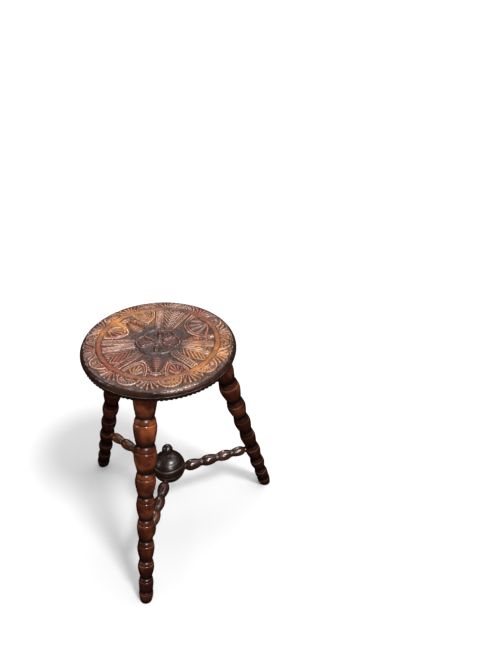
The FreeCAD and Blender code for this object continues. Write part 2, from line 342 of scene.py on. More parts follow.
def make_piece(name, points, faces, attributes, node, material):
    """A mesh object from points in mm that stands for a CAD node and rides on the root."""
    mesh = bpy.data.meshes.new(name)
    mesh.from_pydata(points * MM, [], faces)
    mesh.polygons.foreach_set("use_smooth", np.ones(len(mesh.polygons), dtype=bool))
    for title, values in attributes.items():
        kind = "FLOAT" if values.ndim == 1 else "FLOAT_VECTOR"
        layer = mesh.attributes.new(title, kind, "POINT")
        layer.data.foreach_set("value" if kind == "FLOAT" else "vector", values.ravel())
    mesh.validate()
    mesh.update()
    piece = bpy.data.objects.new(name, mesh)
    bpy.context.scene.collection.objects.link(piece)
    mesh.materials.append(material)
    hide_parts(node)
    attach(piece, "root")
    return piece


# ---------------------------------------------------------------- carving of the seat


def offset(angle, centre):
    """Signed angle from a centre in degrees, between -pi and pi."""
    return (angle - math.radians(centre) + math.pi) % TAU - math.pi


def lay(height, body, distance):
    """Lay a motif over the others where distance is negative, with a dark cut around it."""
    height = np.where(distance < GAP, np.minimum(height, GAP_FLOOR), height)
    return np.where(distance < 0, body, height)


def ribs(position, depth, period, sharp=1.3):
    """Rounded ribs, 0 on the crest and depth in the cut between two of them."""
    return depth * np.abs(np.sin(math.pi * position / period)) ** sharp


def lay_rosette(height, r, angle):
    """Six scooped petals with raised scalloped rims round a small cut boss."""
    petal = TAU / PETALS
    turn = offset(angle, ROSETTE_TURN)
    turn = (turn + petal / 2) % petal - petal / 2
    across = r * np.sin(turn)
    along = r * np.cos(turn)
    scallop = ROSETTE_RADIUS - ROSETTE_SCALLOP * (1 - np.cos(turn))
    from_side = r * (petal / 2 - np.abs(turn))
    from_edge = np.minimum(scallop - r, from_side + 0.6)
    midrib = ridge(across, half_width=2.4) * smooth((along - 8) / 6) * smooth((33 - along) / 8)
    barbs = ribs(along - 0.9 * np.abs(across), depth=0.6, period=5.5)
    scoop = CREST - 3.0 * smooth(from_edge / 8.5) + 1.7 * midrib
    scoop -= barbs * smooth(from_edge / 4 - 0.4)
    scoop -= bell(from_side, height=1.3, width=0.9)
    scoop -= bell(scallop - r - 4.2, height=0.9, width=0.7)
    scoop -= bell(r - BOSS_RADIUS - 0.7, height=1.4, width=0.9)
    boss = CREST - ribs(angle, depth=1.2, period=math.pi / 5)
    return lay(height, np.where(r < BOSS_RADIUS, boss, scoop), r - scallop)


def lay_strap(height, r, turn, direction):
    """A radial band with raised double edges, ribbed along or across."""
    across = r * np.sin(turn)
    if direction == "along":
        body = STRAP_CREST - ribs(across + STRAP_RIB / 2, depth=2.4, period=STRAP_RIB)
    else:
        body = STRAP_CREST - ribs(r + 0.35 * across, depth=2.6, period=5.4, sharp=1.6)
    edge = CREST / 2 - bell(np.abs(across) - STRAP_EDGE - 0.5, height=1.0, width=0.5)
    body = np.where(np.abs(across) > STRAP_EDGE, edge, body)
    distance = np.maximum(np.abs(across) - STRAP_HALF_WIDTH, STRAP_START - r)
    return lay(height, body, np.where(np.cos(turn) > 0, distance, FAR))


def lay_leaf(height, r, turn, opening):
    """A veined leaf that fills the wedge between two straps, its tip towards the centre."""
    across = r * np.sin(turn)
    wedge = r * math.tan(math.radians(opening)) - STRAP_HALF_WIDTH
    share = np.clip((r - LEAF_TIP) / (RING_INNER - LEAF_TIP), 0, 1)
    outline = LEAF_HALF_WIDTH * np.sin(math.pi * share**0.9 * 0.82) ** 0.8
    from_edge = np.minimum(wedge, outline) - np.abs(across)
    veins = ribs(r - 1.2 * np.abs(across), depth=2.4, period=8.6, sharp=1.5)
    body = CREST - veins * smooth(from_edge / 3)
    body -= bell(np.abs(across) - 1.9, height=1.4, width=0.6)
    body -= bell(from_edge - 2.6, height=0.9, width=0.6)
    on_leaf = (share > 0) & (share < 1) & (np.cos(turn) > 0)
    return lay(height, body, np.where(on_leaf, -from_edge, FAR))


def lay_lunette(height, r, turn, half_width, rise, filling):
    """A tall arch standing on the ring: double raised edge round a fan of flutes or arcs."""
    across = (RING_INNER + r) / 2 * np.sin(turn)
    along = RING_INNER - r
    reach = np.hypot(across / half_width, along / rise)
    spread = np.arctan2(along / rise, across / half_width)
    scale = (half_width + rise) / 2
    if filling == "fan":
        fan = ribs(spread, depth=2.7, period=math.pi / 6)
        body = STRAP_CREST - fan * smooth((reach - 0.12) / 0.2)
    else:
        body = CREST - ribs(reach, depth=2.6, period=0.155)
    boss = -0.25 - bell(reach * scale - 5, height=1.3, width=1.0)
    body = np.where(reach * scale < 7, boss, body)
    from_edge = (1 - reach) * scale
    edges = -0.1 - bell(from_edge - 8.9, height=2.8, width=1.2)
    edges -= bell(from_edge - 4.3, height=2.4, width=1.1)
    body = np.where(from_edge < 9.8, edges, body)
    on_arch = (np.cos(turn) > 0) & (r < RING_INNER)
    return lay(height, body, np.where(on_arch, -from_edge, FAR))


def lay_palmette(height, r, turn):
    """Lobes that spread from the ring towards the centre, between two lunettes."""
    across = r * np.sin(turn)
    along = RING_INNER - 3 - r * np.cos(turn)
    spread = np.arctan2(across, along)
    reach = np.hypot(across, along)
    lobe = np.abs(np.cos(spread * 5.5))
    body = -0.45 - 2.8 * (1 - lobe) ** 0.9
    body -= ribs(reach + 4 * lobe, depth=1.1, period=6.5, sharp=1.8)
    boss = CREST - bell(reach - 7, height=1.5, width=1.0)
    body = np.where(reach < 11, boss, body)
    distance = np.maximum(reach - PALMETTE_REACH - PALMETTE_LOBE * lobe, np.abs(spread) * 30 - 34)
    return lay(height, body, np.where(np.cos(turn) > 0, distance, FAR))


def carve_border(r, angle):
    """Arches on the ring, with fans of flutes filling the spaces between them."""
    repeat = TAU / BORDER_REPEATS
    turn = offset(angle, BORDER_START)
    turn = (turn + repeat / 2) % repeat - repeat / 2

    side = repeat / 2 - np.abs(turn)
    across = r * np.sin(side)
    along = r * np.cos(side) - RING_OUTER + 4
    reach = np.hypot(across, along)
    lobes = np.abs(np.cos(np.arctan2(across, along) * 8.2))
    fan = CREST - 3.0 * (1 - lobes) ** 0.85 - bell(reach - 12, height=0.9, width=0.9)
    height = np.where(reach > 24.5 + 5.0 * lobes, -0.8 * DEEP, fan)

    across = r * np.sin(turn)
    along = r * np.cos(turn) - RING_OUTER - 1
    reach = np.hypot(across, along)
    ticks = STRAP_CREST - ribs(np.arctan2(along, across), depth=2.3, period=math.pi / 9)
    arcs = CREST - ribs(reach, depth=2.4, period=5.0)
    body = np.where(reach > 10.5, ticks, arcs)
    edge = -0.1 - bell(reach - 17.6, height=2.4, width=1.1)
    body = np.where(reach > 16.6, edge, body)
    return lay(height, body, reach - BORDER_ARCH)


def carve(x, y):
    """Depth of the relief at a point of the seat's face, below zero where wood is cut away."""
    px, py = x - PATTERN_SHIFT[0], y - PATTERN_SHIFT[1]
    true_r = np.hypot(px, py)
    wander = WANDER * waves(px / WANDER_SIZE, py / WANDER_SIZE, 11)
    px, py = px + wander, py + WANDER * waves(px / WANDER_SIZE, py / WANDER_SIZE, 12)
    r, angle = np.hypot(px, py), np.arctan2(py, px)
    punched = np.sin(px * PUNCH_RADIANS_PER_MM) * np.sin(py * PUNCH_RADIANS_PER_MM)
    height = np.where(r < CENTRE_GROUND_RADIUS, -DEEP, GROUND) + PUNCH_DEPTH * punched
    for centre in PALMETTES:
        height = lay_palmette(height, r, offset(angle, centre))
    for centre, opening in LEAVES:
        height = lay_leaf(height, r, offset(angle, centre), opening)
    for centre, half_width, rise, filling in LUNETTES:
        height = lay_lunette(height, r, offset(angle, centre), half_width, rise, filling)
    for centre, direction in STRAPS:
        height = lay_strap(height, r, offset(angle, centre), direction)
    height = lay_rosette(height, r, angle)
    height = np.where(true_r > RING_OUTER, carve_border(r, angle), height)
    crown = -0.05 - 0.5 * ((true_r - RING_MIDDLE) / RING_HALF_WIDTH) ** 2
    height = lay(height, crown, np.abs(true_r - RING_MIDDLE) - RING_HALF_WIDTH)
    for size, depth, seed in KNIFE_MARKS:
        height += depth * waves(px / size, py / size, seed)
    height *= smooth((CARVED_LIMIT - np.hypot(x, y)) / CARVED_FADE)
    return np.clip(height, -DEEP, 0)


def soft_areas(x, y, areas):
    """Strength between 0 and 1 of a set of soft round areas of the seat's face."""
    total = np.zeros_like(x)
    for angle, radius, reach, strength in areas:
        at_x = PATTERN_SHIFT[0] + radius * math.cos(math.radians(angle))
        at_y = PATTERN_SHIFT[1] + radius * math.sin(math.radians(angle))
        away = np.hypot(x - at_x, y - at_y)
        total += bell(away * math.sqrt(AREA_SHARPNESS), height=strength, width=reach)
    return np.clip(total, 0, 1)


def blur(grid, times):
    """Each point becomes the mean of its four neighbours, a number of times."""
    for _ in range(times):
        padded = np.pad(grid, 1, mode="edge")
        grid = (padded[:-2, 1:-1] + padded[2:, 1:-1] + padded[1:-1, :-2] + padded[1:-1, 2:]) / 4
    return grid


# ---------------------------------------------------------------- seat board


def disc_grid(rings, radius):
    """Square grid bent to a disc: (x, y) for each grid point, and its size along a side."""
    line = np.arange(-rings, rings + 1, dtype=float)
    u, v = np.meshgrid(line, line, indexing="ij")
    wide = np.abs(u) >= np.abs(v)
    major = np.where(wide, u, v)
    minor = np.where(wide, v, u)
    swing = math.pi / 4 * np.divide(minor, major, out=np.zeros_like(u), where=major != 0)
    r = major / rings * radius
    x = np.where(wide, r * np.cos(swing), r * np.sin(swing))
    y = np.where(wide, r * np.sin(swing), r * np.cos(swing))
    return x, y, len(line)


def grid_outline(count):
    """Indices of a square grid's outermost points, counter-clockwise from its first corner."""
    last = count - 1
    bottom = [(i, 0) for i in range(last)]
    right = [(last, j) for j in range(last)]
    top = [(i, last) for i in range(last, 0, -1)]
    left = [(0, j) for j in range(last, 0, -1)]
    return [i * count + j for i, j in bottom + right + top + left]


def rim_height(r):
    """Height of the uncarved board over a radius: flat, then the rounded rim."""
    start = SEAT_RADIUS - RIM_RADIUS
    drop = RIM_RADIUS - np.sqrt(np.clip(RIM_RADIUS**2 - np.clip(r - start, 0, None) ** 2, 0, None))
    return SEAT_TOP - drop


def rim_rings(angles):
    """Rings from the grid's edge down to the underside, each as radius, height and shade.

    The shade is 1 for black painted shade and negative for a pale painted highlight.
    """
    ledge = SEAT_UNDERSIDE + LEDGE_HEIGHT
    start = SEAT_RADIUS - RIM_RADIUS
    first = math.acos((GRID_RADIUS - start) / RIM_RADIUS)
    plain = []
    for step in range(1, RIM_STEPS + 1):
        lean = first * (1 - step / RIM_STEPS)
        r = start + RIM_RADIUS * math.cos(lean)
        plain.append((r, SEAT_TOP - RIM_RADIUS * (1 - math.sin(lean)), 0))
    # painted shade in the groove over the bead, then a painted highlight on the bead
    plain.append((SEAT_RADIUS - 0.8, ledge + BEAD_HEIGHT, 0.7))
    for step in range(BEAD_STEPS):
        lean = math.pi * (0.12 + 0.16 * step)
        r = SEAT_RADIUS - BEAD_BULGE * (1 - math.sin(lean))
        plain.append((r, ledge + BEAD_HEIGHT * (0.5 + 0.5 * math.cos(lean)), -0.6))
    band = SEAT_RADIUS - BAND_RECESS
    # painted shade on the band of teeth and on the underside
    plain.append((band + 0.4, ledge - 0.8, 0.4))
    plain.append((band, ledge - BAND_DROP, 1))

    tooth = 1 - np.abs(np.sin(angles * TEETH / 2)) ** 0.7
    toothed = []
    for step in range(1, TOOTH_STEPS + 1):
        share = step / TOOTH_STEPS
        r = band - TOOTH_DEPTH * tooth * smooth(share * 1.4)
        z = ledge - BAND_DROP - share * (LEDGE_HEIGHT - 2.4) + 1.6 * tooth * share
        toothed.append((r, z, 0.6 + 0.4 * tooth))
    lowest = SEAT_UNDERSIDE + 0.25 + 1.3 * tooth
    toothed.append((band - 0.9 - TOOTH_DEPTH * tooth, lowest, 0.9))

    under = [(r, SEAT_UNDERSIDE, 0.5) for r in (band - 4.5, 120.0, 80.0, 40.0)]
    every = np.ones_like(angles)
    return [[value * every for value in ring] for ring in plain + toothed + under]


def seat_marks(points, depth, shade):
    """What the seat's wood needs to know at each point, as numbers between 0 and 1.

    The depth is that of the carved grid, whose points come first.
    """
    px, py, pz = points.T
    on_face = pz > SEAT_UNDERSIDE + LEDGE_HEIGHT
    r = np.hypot(px - PATTERN_SHIFT[0], py - PATTERN_SHIFT[1])
    local = (blur(depth, 6) - depth).ravel() / LOCAL_DEPTH
    off_grid = np.zeros(len(points) - depth.size)
    # painted highlight on the rim's front, and on the bead under the rim
    rim_highlight = soft_areas(px, py, RIM_HIGHLIGHT_AREAS) * (pz > SEAT_TOP - 7)
    return {
        "carved": np.concatenate([-depth.ravel() / DEEP, off_grid]),
        "hollow": np.concatenate([np.clip(local, 0, 1), off_grid]),
        "crest": np.concatenate([np.clip(-local, 0, 1), off_grid]),
        "ring": inside(np.abs(r - RING_MIDDLE) - RING_HALF_WIDTH, soft=2) * on_face,
        # painted shade under the rim and on the underside
        "band": np.clip(shade, 0, 1),
        "patina": smooth((PATINA_RADIUS - r) / PATINA_FADE) * on_face,
        "rim": smooth((np.hypot(px, py) - BORDER_EDGE + 4) / 7),
        "honey": soft_areas(px, py, HONEY_AREAS) * on_face,
        "red": soft_areas(px, py, RED_AREAS) * on_face,
        "grey": soft_areas(px, py, GREY_AREAS) * on_face,
        "rim_highlight": rim_highlight + np.clip(-shade, 0, 1),
    }


def make_seat(material):
    """The carved board: a grid over the face, rings round the rim, one flat face below."""
    x, y, count = disc_grid(GRID_RINGS, GRID_RADIUS)
    depth = carve(x, y)
    depth = 0.75 * depth + 0.25 * blur(depth, 1)
    z = rim_height(np.hypot(x, y)) + depth
    points = [np.stack([x, y, z], -1).reshape(-1, 3)]
    shades = [np.zeros(x.size)]
    index = np.arange(count * count).reshape(count, count)
    faces = np.stack([index[:-1, :-1], index[1:, :-1], index[1:, 1:], index[:-1, 1:]], -1)
    faces = faces.reshape(-1, 4).tolist()

    edge = grid_outline(count)
    angles = np.arctan2(y.ravel()[edge], x.ravel()[edge])
    upper = edge
    total = count * count
    for r, height, shade in rim_rings(angles):
        points.append(np.stack([r * np.cos(angles), r * np.sin(angles), height], -1))
        shades.append(shade)
        lower = list(range(total, total + len(edge)))
        total += len(edge)
        for i in range(len(edge)):
            j = (i + 1) % len(edge)
            faces.append((upper[i], lower[i], lower[j], upper[j]))
        upper = lower
    faces.append(tuple(reversed(upper)))

    points = np.concatenate(points)
    marks = seat_marks(points, depth, np.concatenate(shades))
    return make_piece(
        "carved_seat", points, faces, marks, "seat_board", material
    )


# ---------------------------------------------------------------- turned pieces

# every turned piece is set a little inside its CAD solid, and its surface is slightly uneven
TURNED_INSET = 0.12
UNEVEN = 0.10
UNEVEN_LENGTH = 9.0


def arc_step(widest, neck, distance, reach):
    """Radius along a plain arc that is widest at distance 0 and falls to the neck at reach."""
    fall = widest - neck
    bend = (reach**2 + fall**2) / (2 * fall)
    return widest - bend + np.sqrt(np.clip(bend**2 - distance**2, 0, None))


def waisted(radius, neck, share):
    """The radius drawn in towards the neck, most where the share is 0 and not where it is 1."""
    return neck + (radius - neck) * (1 - WAIST + WAIST * smooth(share))


def leg_radius(s, leg_top):
    """Radius and shade of a leg at the distance s along its axis from the floor.

    The shade is positive for painted shade and negative where a painted highlight makes an edge
    pale.
    """
    last = len(BOBBIN_RADII) - 1
    necks = [radius * NECK_SHARE for radius in BOBBIN_RADII[:-1]]
    necks += [BOBBIN_RADII[-1] * FOOT_NECK_SHARE, SOLE_RADIUS]
    lengths = BOBBIN_LENGTHS + (leg_top - sum(BOBBIN_LENGTHS),)
    radius = np.full_like(s, necks[0])
    shade = np.zeros_like(s)
    top = leg_top
    for number, (widest, length) in enumerate(zip(BOBBIN_RADII, lengths)):
        down = top - s
        crest = length * SHOULDER_SHARE
        neck, neck_below = necks[number], necks[number + 1]
        shoulder = arc_step(widest, neck, np.clip(crest - down, 0, crest), crest)
        shoulder = waisted(shoulder, neck, down / crest)
        taper = arc_step(widest, neck_below, np.clip(down - crest, 0, length), length - crest)
        taper = waisted(taper, neck_below, (length - down) / (length - crest))
        here = np.where(down < crest, shoulder, taper)
        share = down / length
        here += 0.5 * ridge(share - 0.115, half_width=0.085)
        here -= bell(share - 0.215, height=0.7, width=0.014)
        # painted shade at the incised line, at the neck and over the lower part of the bobbin; a
        # painted highlight below the line
        lines = bell(share - 0.205, height=0.6, width=0.018)
        lines += bell(share, height=1.0, width=0.06)
        lines += bell(share - 1, height=0.9, width=0.24)
        lines -= bell(share - 0.24, height=0.55, width=0.022)
        on_bobbin = (share >= 0) & ((share <= 1) | (number == last))
        radius = np.where(on_bobbin, here, radius)
        shade = np.where(on_bobbin, np.clip(lines, -1, 1), shade)
        if number > 0:
            radius = radius - bell(s - top, height=0.5, width=2.2)
        top -= length
    return radius, shade


def rail_radius(s):
    """Radius and shade of a stretcher at the distance s from the stool's centre."""
    necks = (RAIL_TENON,) + (RAIL_NECK,) * (len(LINK_RADII) - 1) + (RAIL_TENON,)
    radius = np.full_like(s, RAIL_TENON)
    shade = np.zeros_like(s)
    start = LINK_START
    for number, (length, widest) in enumerate(zip(LINK_LENGTHS, LINK_RADII)):
        crest = length * LINK_SHARES[number]
        on = s - start
        rise = arc_step(widest, necks[number], np.clip(crest - on, 0, crest), crest)
        fall_length = length - crest
        fall = arc_step(widest, necks[number + 1], np.clip(on - crest, 0, length), fall_length)
        on_link = (on >= 0) & (on <= length)
        radius = np.where(on_link, np.where(on < crest, rise, fall), radius)
        if number > 0:
            radius = radius + 0.9 * ridge(on, half_width=2.2)
            radius = radius - bell(np.abs(on) - 3.0, height=0.5, width=0.6)
            # painted shade round each joint, with a painted highlight on its bead
            shade = shade + bell(on, height=1.0, width=5.0) - bell(on, height=1.3, width=1.2)
        start += length
    return radius, np.clip(shade, -1, 1)


def ball_radius(s):
    """Radius and shade of the ball at the height s: a bead between two grooves, fine rings."""
    radius = np.sqrt(np.clip(BALL_RADIUS**2 - (s - BALL_CENTRE) ** 2, 0, None))
    fine_rings = 0.10 * np.sin(TAU * s / 2.6) * (s > BALL_GROOVES[1] + 2)
    radius = radius + fine_rings * smooth((BALL_RADIUS + 4 - radius) / 8)
    shade = np.zeros_like(s)
    for groove in BALL_GROOVES:
        radius = radius - bell(s - groove, height=1.3, width=0.9)
        # painted shade in the groove and a painted highlight on the lip below it
        shade = shade + bell(s - groove, height=1.0, width=1.2)
        shade = shade - bell(s - groove + 2.6, height=0.7, width=0.9)
    radius = radius - bell(s - UPPER_LINE, height=0.5, width=0.7)
    radius = radius - bell(s - LOWER_LINE, height=0.4, width=0.8)
    # painted shade in the upper line
    shade = shade + bell(s - UPPER_LINE, height=0.8, width=1.0)
    return np.minimum(radius, BALL_RADIUS), np.clip(shade, -1, 1)


def knob_radius(s):
    """Radius and shade of the knob at the height s: spigot, collar, neck and a tall ball."""
    neck = KNOB_NECK + KNOB_COLLAR * smooth((COLLAR_TOP + 1.2 - s) / 1.6)
    knob = np.sqrt(np.clip(KNOB_RADIUS**2 - (s - KNOB_CENTRE) ** 2, 0, None))
    radius = np.where(s < KNOB_CENTRE - 6, np.maximum(neck, knob), knob)
    radius = np.where(s < BALL_TOP, KNOB_SPIGOT, radius)
    radius = radius - bell(s - KNOB_LINE, height=0.25, width=0.6)
    # painted shade round the top of the collar and in the line on the knob
    shade = bell(s - COLLAR_TOP - 1.5, height=1.0, width=2.2)
    shade = shade + bell(s - KNOB_LINE, height=0.6, width=0.8)
    return radius, np.clip(shade, 0, 1)


def trim_ends(s, slant, foot, axis, radius_of, floor, ceiling):
    """Distances along a leaning piece, shifted near its ends so that they end level."""
    for limit, row, end in ((floor, 0, s.min()), (ceiling, -1, s.max())):
        target = s[row]
        for _ in range(4):
            target = (limit - foot.z - radius_of(target)[0] * slant[row]) / axis.z
        near = np.clip(1 - np.abs(s - end) / TRIM_FADE, 0, 1)
        s = s + (target[None, :] - end) * near
    return s


def turned_piece(
    name, foot, axis, stations, radius_of, node, material, seed, sides=64, cuts=None
):
    """A lathe-turned piece about a line; cuts are the floor and ceiling that trim its ends."""
    axis = axis.normalized()
    side = Vector((0, 0, 1)).cross(axis)
    side = side.normalized() if side.length > 0.01 else Vector((1, 0, 0))
    out = axis.cross(side)
    turn = np.linspace(0, TAU, sides, endpoint=False)
    s = np.repeat(np.asarray(stations)[:, None], sides, axis=1)
    phi = np.repeat(turn[None, :], len(stations), axis=0)
    if cuts:
        slant = out.z * np.sin(phi) + side.z * np.cos(phi)
        s = trim_ends(s, slant, foot, axis, radius_of, *cuts)
    radius, shade = radius_of(s)
    uneven = UNEVEN * waves(s / UNEVEN_LENGTH, phi * 0.6 + seed, seed) * np.abs(np.sin(phi / 2))
    radius = np.maximum(radius - TURNED_INSET + uneven, 0.05)
    direction = np.cos(phi)[..., None] * np.array(side) + np.sin(phi)[..., None] * np.array(out)
    points = np.array(foot) + s[..., None] * np.array(axis) + radius[..., None] * direction

    index = np.arange(s.size).reshape(s.shape)
    following = np.roll(index, -1, axis=1)
    faces = np.stack([index[:-1], following[:-1], following[1:], index[1:]], -1)
    faces = faces.reshape(-1, 4).tolist()
    faces.append(tuple(reversed(index[0].tolist())))
    faces.append(tuple(index[-1].tolist()))
    grain = np.stack([radius * np.cos(phi) + 60 * seed, radius * np.sin(phi), s], -1)
    attributes = {
        "grain": grain.reshape(-1, 3) * MM,
        # painted shade in the creases and painted highlights on edges
        "crease_shade": np.clip(shade, 0, 1).ravel(),
        "painted_highlight": np.clip(-shade, 0, 1).ravel(),
    }
    return make_piece(name, points.reshape(-1, 3), faces, attributes, node, material)


def make_legs(material):
    leg_top = SEAT_UNDERSIDE / math.cos(LEG_SPLAY)
    stations = np.linspace(0, leg_top + 1, LEG_STATIONS)
    for seed, name in enumerate(("front", "right", "left"), start=1):
        foot = feet[f"foot_{name}"]
        inward = -foot.normalized()
        turned_piece(
            f"turned_leg_{name}",
            foot,
            inward * math.sin(LEG_SPLAY) + Vector((0, 0, math.cos(LEG_SPLAY))),
            stations,
            lambda s: leg_radius(s, leg_top),
            f"leg_{name}",
            material[name],
            seed,
            cuts=(SOLE_TRIM, SEAT_UNDERSIDE + TOP_TRIM),
        )


def make_rails(material):
    stations = np.linspace(*RAIL_ENDS, RAIL_STATIONS)
    for seed, name in enumerate(("front", "right", "left"), start=4):
        turned_piece(
            f"turned_stretcher_{name}",
            Vector((0, 0, RAIL_HEIGHT)),
            feet[f"foot_{name}"].normalized(),
            stations,
            rail_radius,
            f"stretcher_{name}",
            material[name],
            seed,
            sides=RAIL_SIDES,
        )


def make_ball_and_knob(material):
    origin = Vector((0, 0, 0))
    up = Vector((0, 0, 1))
    lean = np.linspace(-math.pi / 2, math.pi / 2, BALL_STATIONS)
    ball = BALL_BOTTOM + (BALL_TOP - BALL_BOTTOM) * (0.5 + 0.5 * np.sin(lean))
    turned_piece(
        "turned_ball", origin, up, ball, ball_radius, "hub", material, 8, BALL_SIDES
    )
    spigot = [BALL_TOP - 8]
    neck = np.linspace(BALL_TOP - 0.01, KNOB_CENTRE, 50)[:-1]
    crown = KNOB_CENTRE + (KNOB_TOP - KNOB_CENTRE) * np.sin(np.linspace(0, math.pi / 2, 26))
    knob = np.concatenate([spigot, neck, crown])
    turned_piece(
        "turned_knob", origin, up, knob, knob_radius, "finial", material, 9, KNOB_SIDES
    )


# ---------------------------------------------------------------- materials


class Shader:
    """Small help for writing a material's nodes one line each."""

    def __init__(self, name):
        self.material = bpy.data.materials.new(name)
        self.material.use_nodes = True
        self.tree = self.material.node_tree
        self.surface = self.tree.nodes["Principled BSDF"]

    def node(self, kind, inputs=None, **settings):
        made = self.tree.nodes.new(kind)
        for key, value in settings.items():
            setattr(made, key, value)
        for key, value in (inputs or {}).items():
            if isinstance(value, bpy.types.NodeSocket):
                self.tree.links.new(value, made.inputs[key])
            else:
                made.inputs[key].default_value = value
        return made

    def attribute(self, name, output="Fac"):
        return self.node("ShaderNodeAttribute", attribute_name=name).outputs[output]

    def stretch(self, vector, scale):
        return self.node("ShaderNodeMapping", {"Vector": vector, "Scale": scale}).outputs[0]

    def noise(self, vector, scale, detail=4.0, rough=0.55, distortion=0.0):
        made = self.node(
            "ShaderNodeTexNoise",
            {
                "Vector": vector,
                "Scale": scale,
                "Detail": detail,
                "Roughness": rough,
                "Distortion": distortion,
            },
        )
        return made.outputs["Fac"]

    def ramp(self, factor, low, high, start=0.0, finish=1.0):
        made = self.node(
            "ShaderNodeMapRange",
            {"Value": factor, "From Min": low, "From Max": high, "To Min": start, "To Max": finish},
        )
        return made.outputs[0]

    def math(self, operation, a, b):
        return self.node("ShaderNodeMath", {0: a, 1: b}, operation=operation).outputs[0]

    def mix(self, factor, a, b, blend="MIX"):
        made = self.node("ShaderNodeMix", data_type="RGBA", blend_type=blend)
        for socket, value in ((made.inputs[0], factor), (made.inputs[6], a), (made.inputs[7], b)):
            if isinstance(value, bpy.types.NodeSocket):
                self.tree.links.new(value, socket)
            else:
                socket.default_value = value
        return made.outputs[2]

    def bump(self, height, strength, distance, normal=None):
        inputs = {"Height": height, "Strength": strength, "Distance": distance}
        if normal is not None:
            inputs["Normal"] = normal
        return self.node("ShaderNodeBump", inputs).outputs[0]

    def set(self, **values):
        for key, value in values.items():
            socket = self.surface.inputs[key.replace("_", " ")]
            if isinstance(value, bpy.types.NodeSocket):
                self.tree.links.new(value, socket)
            else:
                socket.default_value = value


def turned_wood(name, dark, middle, light, crease_shade, gloss):
    """Stained, polished wood: grain along the piece, painted shade in the creases, painted
    highlights.
    """
    shader = Shader(name)
    grain = shader.attribute("grain", "Vector")
    long_grain = shader.stretch(grain, (1.0, 1.0, 0.09))
    figure = shader.noise(long_grain, 95.0, 5.0, 0.6, 0.4)
    fibre = shader.noise(long_grain, 900.0, 3.0, 0.6)
    cloud = shader.noise(grain, 26.0, 3.0, 0.5)
    rub = shader.noise(grain, 140.0, 4.0, 0.6)
    base = shader.mix(shader.ramp(figure, 0.25, 0.62, 0.25, 1.0), dark, middle)
    base = shader.mix(shader.ramp(cloud, 0.46, 0.66, 0.0, 0.8), base, light)
    base = shader.mix(shader.ramp(fibre, 0.55, 0.8, 0.0, 0.3), base, dark)
    along = shader.node("ShaderNodeSeparateXYZ", {"Vector": grain}).outputs["Z"]
    # painted shade: darker over the first part of each piece's length, so the legs darken towards
    # the feet
    base = shader.mix(shader.ramp(along, *LIGHTENS_OVER, 0.85, 0.0), base, dark)
    # painted shade in the creases, then painted highlights on edges
    crease_shade_mask = shader.attribute("crease_shade")
    base = shader.mix(crease_shade_mask, base, crease_shade)
    patches = shader.ramp(cloud, 0.40, 0.62, 0.1, 0.6)
    painted_highlight = shader.math("MULTIPLY", shader.attribute("painted_highlight"), patches)
    base = shader.mix(painted_highlight, base, EDGE_HIGHLIGHT)
    rough = shader.ramp(rub, 0.3, 0.75, gloss, gloss + 0.12)
    rough = shader.math("ADD", rough, shader.math("MULTIPLY", crease_shade_mask, 0.25))
    normal = shader.bump(fibre, 0.06, 0.0005)
    normal = shader.bump(rub, 0.08, 0.0008, normal)
    shader.set(Base_Color=base, Roughness=rough, Normal=normal)
    return shader.material


